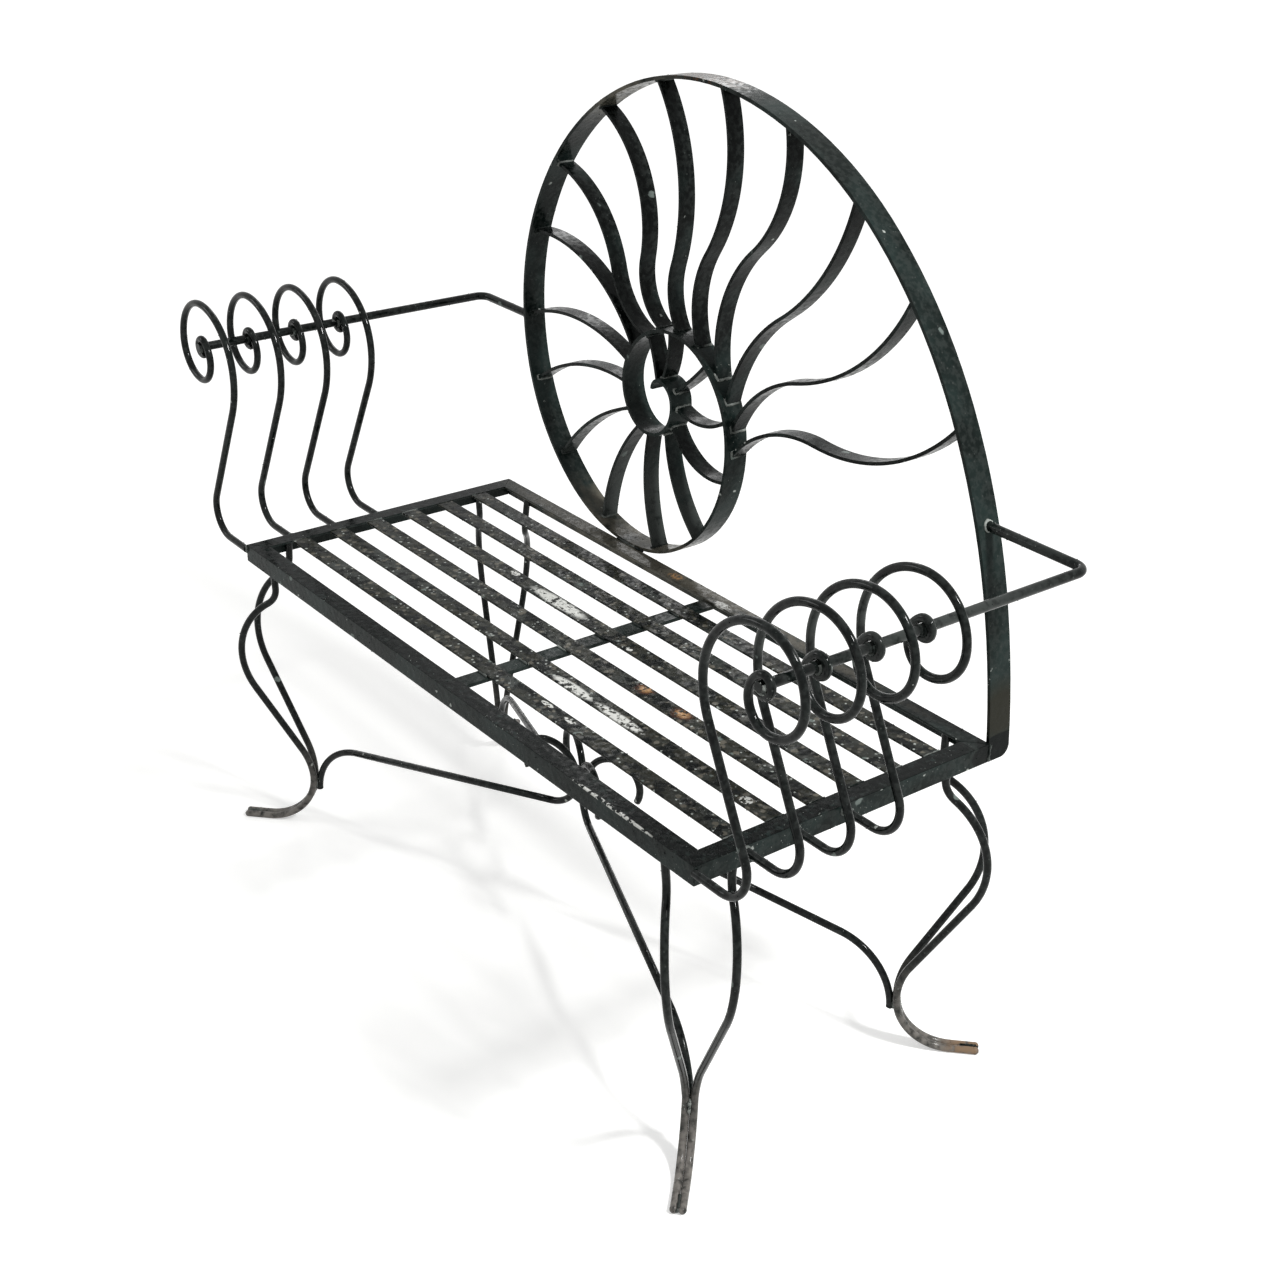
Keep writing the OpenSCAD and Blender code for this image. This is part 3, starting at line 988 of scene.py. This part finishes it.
# %% [markdown]
# The scrolls end in eyes that wrap the arm rods, with a bead on each side of the eye, most of the
# way round the rod.

# %% The seams on the scrolls' eyes
EYE_BEAD_MM = 2.3
EYE_OFFSET_MM = 4.2
EYE_LIFT_MM = 0.6
EYE_TURN = range(200, 420, 20)
for side in ("left", "right"):
    arm_low, arm_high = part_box(f"arm_{side}")
    arm_r = (arm_high.z - arm_low.z) / 2
    arm_x = arm_high.x - arm_r if side == "right" else arm_low.x + arm_r
    arm_z = (arm_low.z + arm_high.z) / 2
    ring_r = arm_r + EYE_LIFT_MM * MM
    for name in starting(f"scroll_{side}"):
        low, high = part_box(name)
        for offset in (-EYE_OFFSET_MM, EYE_OFFSET_MM):
            y = (low.y + high.y) / 2 + offset * MM
            turns = [math.radians(angle) for angle in EYE_TURN]
            ring = [(arm_x + ring_r * math.cos(a), y, arm_z + ring_r * math.sin(a)) for a in turns]
            seam(ring, EYE_BEAD_MM)
print(len(seams), "seams with the eyes")

# %% [markdown]
# Under the slats the cross bar is tacked on both sides of each one. The spiral bar is welded to the
# rear rail where its low turn rests on it, and down both edges of its foot.

# %% The seams on the seat frame
CROSS_SHARES = (0.1, 0.5, 0.85)
CROSS_LIFT_MM = 0.4
LOW_TURN_BEAD_MM = 2.3
LOW_TURN_HALF = 0.03
LOW_TURN_RISE_MM = 1.5
SPIRAL_THICK_MM = 5
FOOT_MARGIN_MM = 2

CROSS_LOW, CROSS_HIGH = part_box("cross_bar")
cross_x = [CROSS_LOW.x + share * (CROSS_HIGH.x - CROSS_LOW.x) for share in CROSS_SHARES]
for name in starting("slat_"):
    low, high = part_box(name)
    for y in (low.y, high.y):
        seam([(x, y, CROSS_HIGH.z + CROSS_LIFT_MM * MM) for x in cross_x], ROD_BEAD_MM)
low_turn = [p.x for p in touching("spiral_bar", "rail_rear") if p.x < 0]
low_turn_x = sum(low_turn) / len(low_turn)
seam(
    [
        (
            low_turn_x + step * LOW_TURN_HALF,
            REAR_HIGH.y,
            SEAT_TOP + abs(step) * LOW_TURN_RISE_MM * MM,
        )
        for step in (-1, -0.5, 0, 0.5, 1)
    ],
    LOW_TURN_BEAD_MM,
)
foot_z = (SEAT_LOW.z + FOOT_MARGIN_MM * MM, SEAT_TOP - FOOT_MARGIN_MM * MM)
for x in (SEAT_HIGH.x - SPIRAL_THICK_MM * MM, SEAT_HIGH.x):
    seam([(x, REAR_HIGH.y, z) for z in foot_z], ROD_BEAD_MM)
print(len(seams), "seams in all")

# %% [markdown]
# All the seams go into one mesh of edges, with the bead's radius kept on its points as an
# attribute. Geometry Nodes turn that into beads: the path is resampled to even steps, a small
# circle is swept along it with a radius that noise makes swell and shrink, and a finer noise then
# pushes the skin in and out. Sizes are named inputs, so a heavier hand at the torch is one number.

# %% Helpers for Geometry Nodes trees
NOISE_LOW, NOISE_HIGH = 0.3, 0.7


def geometry_tree(name, sizes, objects=()):
    """An empty tree with named inputs for sizes and objects, and where each comes in."""
    tree = bpy.data.node_groups.new(name, "GeometryNodeTree")
    tree.interface.new_socket("Geometry", in_out="INPUT", socket_type="NodeSocketGeometry")
    tree.interface.new_socket("Geometry", in_out="OUTPUT", socket_type="NodeSocketGeometry")
    for size in sizes:
        tree.interface.new_socket(size, in_out="INPUT", socket_type="NodeSocketFloat")
    tree.interface.new_socket("Material", in_out="INPUT", socket_type="NodeSocketMaterial")
    for item in objects:
        tree.interface.new_socket(item, in_out="INPUT", socket_type="NodeSocketObject")
    return tree, tree.nodes.new("NodeGroupInput").outputs


def hand_over(tree, geometry, material):
    """Ends a tree: real meshes, one material."""
    real = add_node(tree, "GeometryNodeRealizeInstances", {"Geometry": geometry})
    painted = add_node(
        tree,
        "GeometryNodeSetMaterial",
        {"Geometry": real.outputs["Geometry"], "Material": material},
    )
    add_node(tree, "NodeGroupOutput", {"Geometry": painted.outputs["Geometry"]})


def noise_between(tree, size, low, high, detail=1.0):
    """Noise on the place of each point, mapped between two values."""
    noise = add_node(tree, "ShaderNodeTexNoise", {"Scale": size, "Detail": detail})
    spread = add_node(
        tree,
        "ShaderNodeMapRange",
        {
            "Value": noise.outputs["Fac"],
            "From Min": NOISE_LOW,
            "From Max": NOISE_HIGH,
            "To Min": low,
            "To Max": high,
        },
    )
    return spread.outputs["Result"]


def run_tree(piece, tree, values):
    """Puts a tree on a piece, sets its inputs by identifier, and bakes the result."""
    modifier = piece.modifiers.new(tree.name, "NODES")
    modifier.node_group = tree
    for item in tree.interface.items_tree:
        if item.in_out == "INPUT" and item.name in values:
            modifier[item.identifier] = values[item.name]
    return bake(piece)


print("Geometry Nodes helpers ready")

# %% The bead tree
BEAD_SIDES = 8
SWELL_PITCH_MM = 5
SWELL = (0.7, 1.35)
LUMP_PITCH_MM = 2.2


def bead_tree():
    """Turns edges with a bead_radius into lumpy beads."""
    tree, given = geometry_tree("weld_bead", ["Step", "Lumpiness"])
    path = add_node(tree, "GeometryNodeMeshToCurve", {"Mesh": given["Geometry"]})
    even = add_node(
        tree,
        "GeometryNodeResampleCurve",
        {"Curve": path.outputs["Curve"], "Length": given["Step"]},
        mode="LENGTH",
    )
    radius = add_node(tree, "GeometryNodeInputNamedAttribute", {"Name": "bead_radius"})
    swell = noise_between(tree, per_metre(SWELL_PITCH_MM), *SWELL)
    swollen = add_node(
        tree, "ShaderNodeMath", {0: radius.outputs[0], 1: swell}, operation="MULTIPLY"
    )
    ring = add_node(
        tree, "GeometryNodeCurvePrimitiveCircle", {"Resolution": BEAD_SIDES, "Radius": 1.0}
    )
    bead = add_node(
        tree,
        "GeometryNodeCurveToMesh",
        {
            "Curve": even.outputs["Curve"],
            "Profile Curve": ring.outputs["Curve"],
            "Scale": swollen.outputs[0],
            "Fill Caps": True,
        },
    )
    push = add_node(
        tree,
        "ShaderNodeMath",
        {0: noise_between(tree, per_metre(LUMP_PITCH_MM), -1.0, 1.0), 1: given["Lumpiness"]},
        operation="MULTIPLY",
    )
    normal = add_node(tree, "GeometryNodeInputNormal")
    offset = add_node(
        tree,
        "ShaderNodeVectorMath",
        {0: normal.outputs["Normal"], "Scale": push.outputs[0]},
        operation="SCALE",
    )
    skin = add_node(
        tree,
        "GeometryNodeSetPosition",
        {"Geometry": bead.outputs["Mesh"], "Offset": offset.outputs[0]},
    )
    smooth = add_node(tree, "GeometryNodeSetShadeSmooth", {"Geometry": skin.outputs["Geometry"]})
    hand_over(tree, smooth.outputs["Geometry"], given["Material"])
    return tree


print("bead tree ready")

# %% Lay the beads
BEAD_STEP_MM = 1.6
LUMP_MM = 0.35
corners_of_seams, edges_of_seams, radii = [], [], []
for path, radius_mm, closed in seams:
    first = len(corners_of_seams)
    corners_of_seams += path
    radii += [radius_mm * MM] * len(path)
    edges_of_seams += [(first + i, first + i + 1) for i in range(len(path) - 1)]
    if closed:
        edges_of_seams.append((first + len(path) - 1, first))
seam_mesh = bpy.data.meshes.new("weld_beads")
seam_mesh.from_pydata(corners_of_seams, edges_of_seams, [])
seam_mesh.attributes.new("bead_radius", "FLOAT", "POINT").data.foreach_set("value", radii)
seam_lines = seam_mesh.copy()
beads = run_tree(
    new_piece("weld_beads", seam_mesh),
    bead_tree(),
    {"Step": BEAD_STEP_MM * MM, "Lumpiness": LUMP_MM * MM, "Material": weld_enamel},
)
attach(beads, BODY)
print("beads laid,", len(beads.data.polygons), "faces")

# %% [markdown]
# Arc welding also spits. Small drops of metal stick to the bars round each joint, and under thick
# enamel they become blisters, with a few strays everywhere else. They are points scattered over
# the surfaces, many within reach of a seam and few beyond it, each with a drop of twenty faces.
# They thin out towards the topmost, rearmost and lowest corners, so the drops hardly add to the
# seat's size and its toes stand flat. The seed is fixed, so they lie in the same places each time.

# %% The spatter tree
SPATTER_SEED = 11


def spatter_tree():
    """Scatters drops over surfaces, dense beside the seams."""
    sizes = ["Reach", "Near Density", "Far Density", "Smallest", "Largest"]
    limits = ["Lowest", "Highest", "Rearmost"]
    tree, given = geometry_tree("weld_spatter", sizes + limits, ["Seams"])
    lines = add_node(tree, "GeometryNodeObjectInfo", {"Object": given["Seams"]})
    nearest = add_node(
        tree,
        "GeometryNodeProximity",
        {"Geometry": lines.outputs["Geometry"]},
        target_element="EDGES",
    )
    density = add_node(
        tree,
        "ShaderNodeMapRange",
        {
            "Value": nearest.outputs["Distance"],
            "From Min": 0.0,
            "From Max": given["Reach"],
            "To Min": given["Near Density"],
            "To Max": given["Far Density"],
        },
        clamp=True,
    )
    point = add_node(tree, "GeometryNodeInputPosition")
    place = add_node(tree, "ShaderNodeSeparateXYZ", {0: point.outputs["Position"]})
    kept = density.outputs["Result"]
    for axis, limit, side in (
        ("Z", "Lowest", "GREATER_THAN"),
        ("Z", "Highest", "LESS_THAN"),
        ("Y", "Rearmost", "LESS_THAN"),
    ):
        inside = add_node(
            tree, "ShaderNodeMath", {0: place.outputs[axis], 1: given[limit]}, operation=side
        )
        kept = both(tree, kept, inside.outputs[0])
    spots = add_node(
        tree,
        "GeometryNodeDistributePointsOnFaces",
        {
            "Mesh": given["Geometry"],
            "Density": kept,
            "Seed": SPATTER_SEED,
        },
    )
    drop = add_node(tree, "GeometryNodeMeshIcoSphere", {"Radius": 1.0, "Subdivisions": 1})
    size = add_node(
        tree,
        "FunctionNodeRandomValue",
        {2: given["Smallest"], 3: given["Largest"], "Seed": SPATTER_SEED},
        data_type="FLOAT",
    )
    drops = add_node(
        tree,
        "GeometryNodeInstanceOnPoints",
        {
            "Points": spots.outputs["Points"],
            "Instance": drop.outputs["Mesh"],
            "Rotation": spots.outputs["Rotation"],
            "Scale": size.outputs[1],
        },
    )
    smooth = add_node(tree, "GeometryNodeSetShadeSmooth", {"Geometry": drops.outputs["Instances"]})
    hand_over(tree, smooth.outputs["Geometry"], given["Material"])
    return tree


print("spatter tree ready")

# %% Scatter the spatter
SPATTER_REACH_MM = 20
DROPS_PER_M2 = (9000.0, 350.0)
DROP_MM = (0.35, 0.95)
GROUND_CLEAR_MM = 4
EDGE_CLEAR_MM = 2
all_surfaces = bmesh.new()
for name in nodes:
    all_surfaces.from_mesh((bars.get(name) or braces.get(name) or nodes[name]).data)
surface_mesh = bpy.data.meshes.new("weld_spatter")
all_surfaces.to_mesh(surface_mesh)
all_surfaces.free()
lines = new_piece("seam_lines", seam_lines)
spatter = run_tree(
    new_piece("weld_spatter", surface_mesh),
    spatter_tree(),
    {
        "Reach": SPATTER_REACH_MM * MM,
        "Near Density": DROPS_PER_M2[0],
        "Far Density": DROPS_PER_M2[1],
        "Smallest": DROP_MM[0] * MM,
        "Largest": DROP_MM[1] * MM,
        "Lowest": cad_box[0].z + GROUND_CLEAR_MM * MM,
        "Highest": cad_box[1].z - EDGE_CLEAR_MM * MM,
        "Rearmost": cad_box[1].y - EDGE_CLEAR_MM * MM,
        "Material": weld_enamel,
        "Seams": lines,
    },
)
bpy.data.objects.remove(lines)
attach(spatter, BODY)
print("spatter scattered,", len(spatter.data.polygons), "faces")

# %% [markdown]
# ## The studio
#
# A catalogue picture of the seat stands on plain white. The floor is a real surface that takes the
# seat's soft shadow, with a little light of its own for the camera and for reflections only, so
# that it reads as white without more light on the iron.


# %% Floor and backdrop
FLOOR_HALF = 30.0
FLOOR_ROUGHNESS = 0.9
GLOW_NEAR = 0.42
GLOW_FAR = 0.68
NEAR_TO = 1.0
FAR_FROM = 5.0


def camera_or_glossy(tree):
    """1 for rays from the camera and for reflections, and 0 for the rays that light things."""
    rays = add_node(tree, "ShaderNodeLightPath")
    seen = add_node(
        tree,
        "ShaderNodeMath",
        {0: rays.outputs["Is Camera Ray"], 1: rays.outputs["Is Glossy Ray"]},
        operation="MAXIMUM",
    )
    return seen.outputs[0]


def pale_floor():
    """A wide pale floor, which glows a little more far from the seat."""
    mesh = bpy.data.meshes.new("floor")
    corners = [(-1, -1), (1, -1), (1, 1), (-1, 1)]
    mesh.from_pydata([(x * FLOOR_HALF, y * FLOOR_HALF, 0) for x, y in corners], [], [(0, 1, 2, 3)])
    material = bpy.data.materials.new("matt_studio_paint")
    material.use_nodes = True
    tree = material.node_tree
    tree.nodes.clear()
    where = add_node(tree, "ShaderNodeTexCoord").outputs["Object"]
    distance = add_node(tree, "ShaderNodeVectorMath", {0: where}, operation="LENGTH")
    level = add_node(
        tree,
        "ShaderNodeMapRange",
        {
            "Value": distance.outputs["Value"],
            "From Min": NEAR_TO,
            "From Max": FAR_FROM,
            "To Min": GLOW_NEAR,
            "To Max": GLOW_FAR,
        },
        clamp=True,
    )
    glow = add_node(
        tree,
        "ShaderNodeMath",
        {0: camera_or_glossy(tree), 1: level.outputs["Result"]},
        operation="MULTIPLY",
    )
    shader = add_node(
        tree,
        "ShaderNodeBsdfPrincipled",
        {
            "Base Color": linear("#efefed"),
            "Roughness": FLOOR_ROUGHNESS,
            "Emission Color": linear("#ffffff"),
            "Emission Strength": glow.outputs[0],
        },
    )
    add_node(tree, "ShaderNodeOutputMaterial", {"Surface": shader.outputs["BSDF"]})
    mesh.materials.append(material)
    return new_piece("floor", mesh)


floor = pale_floor()
print("floor laid")

# %% [markdown]
# The air round the seat lights it softly from all sides. The camera and reflections see it white.

# %% World light
SKY_FILL = 0.42
world = bpy.data.worlds.new("studio_air")
bpy.context.scene.world = world
world.use_nodes = True
world.node_tree.nodes.clear()
world_level = add_node(
    world.node_tree,
    "ShaderNodeMapRange",
    {"Value": camera_or_glossy(world.node_tree), "To Min": SKY_FILL, "To Max": 1.0},
)
world_air = add_node(
    world.node_tree,
    "ShaderNodeBackground",
    {"Color": linear("#ffffff"), "Strength": world_level.outputs["Result"]},
)
add_node(world.node_tree, "ShaderNodeOutputWorld", {"Surface": world_air.outputs[0]})
print("world light set")

# %% [markdown]
# The photograph's light comes from high on the right and a little behind: the scrolls of the right
# arm throw narrow bands of shadow over the front slats. One strong lamp takes that part, a weak
# wide one fills from the front left, and a faint one from the rear left gives the rods a second
# highlight.

# %% Lamps
# Each lamp: its place, the width of its square in metres, and its power in watts.
LAMPS = {
    "key_lamp": ((2.2, 0.6, 3.0), 0.45, 95),
    "fill_lamp": ((-2.6, -2.4, 2.2), 1.2, 20),
    "back_lamp": ((-2.5, 2.1, 2.2), 0.8, 9),
}
SEAT_CENTRE = (0, 0, 0.5)


def soft_lamp(name, place, target, size, watts):
    """A square area lamp that faces a point."""
    data = bpy.data.lights.new(name, "AREA")
    data.size = size
    data.energy = watts
    lamp = bpy.data.objects.new(name, data)
    bpy.context.scene.collection.objects.link(lamp)
    place = Vector(place)
    lamp.matrix_world = Matrix.Translation(place) @ (
        (Vector(target) - place).to_track_quat("-Z", "Y").to_matrix().to_4x4()
    )
    return lamp


for name, (place, size, watts) in LAMPS.items():
    soft_lamp(name, place, SEAT_CENTRE, size, watts)
print("hung", len(LAMPS), "lamps")

# %% [markdown]
# ## The camera
#
# The camera stands where the photograph was taken from, found by matching points of the seat whose
# real places are known. It is turned by three angles: round the seat, down, and a slight roll of
# the hand. The lens follows from the focal length in pixels of the 1280 pixel wide picture.

# %% Camera
IMAGE_PX = 1280
FOCAL_PX = 1891.7
CENTRE_PX = (652.33, 638.75)
CAMERA_PLACE = (1.7807, -1.3081, 1.5567)
CAMERA_ROUND = math.radians(51.45)
CAMERA_DOWN = math.radians(26.64)
CAMERA_ROLL = math.radians(1.63)
SENSOR_MM = 36.0


def camera_turn():
    """The camera's rotation, from its three angles."""
    ahead = Vector(
        (
            -math.sin(CAMERA_ROUND) * math.cos(CAMERA_DOWN),
            math.cos(CAMERA_ROUND) * math.cos(CAMERA_DOWN),
            -math.sin(CAMERA_DOWN),
        )
    )
    right = Vector((math.cos(CAMERA_ROUND), math.sin(CAMERA_ROUND), 0))
    up = right.cross(ahead)
    rolled_right = right * math.cos(CAMERA_ROLL) + up * math.sin(CAMERA_ROLL)
    rolled_up = up * math.cos(CAMERA_ROLL) - right * math.sin(CAMERA_ROLL)
    return Matrix((rolled_right, rolled_up, -ahead)).transposed().to_4x4()


camera_data = bpy.data.cameras.new("photo_camera")
camera_data.sensor_width = SENSOR_MM
camera_data.lens = SENSOR_MM * FOCAL_PX / IMAGE_PX
camera_data.shift_x = (IMAGE_PX / 2 - CENTRE_PX[0]) / IMAGE_PX
camera_data.shift_y = (CENTRE_PX[1] - IMAGE_PX / 2) / IMAGE_PX
camera = bpy.data.objects.new("photo_camera", camera_data)
bpy.context.scene.collection.objects.link(camera)
camera.matrix_world = Matrix.Translation(CAMERA_PLACE) @ camera_turn()
bpy.context.scene.camera = camera
bpy.context.scene.view_settings.view_transform = "Standard"
print(f"lens {camera_data.lens:.1f} mm")
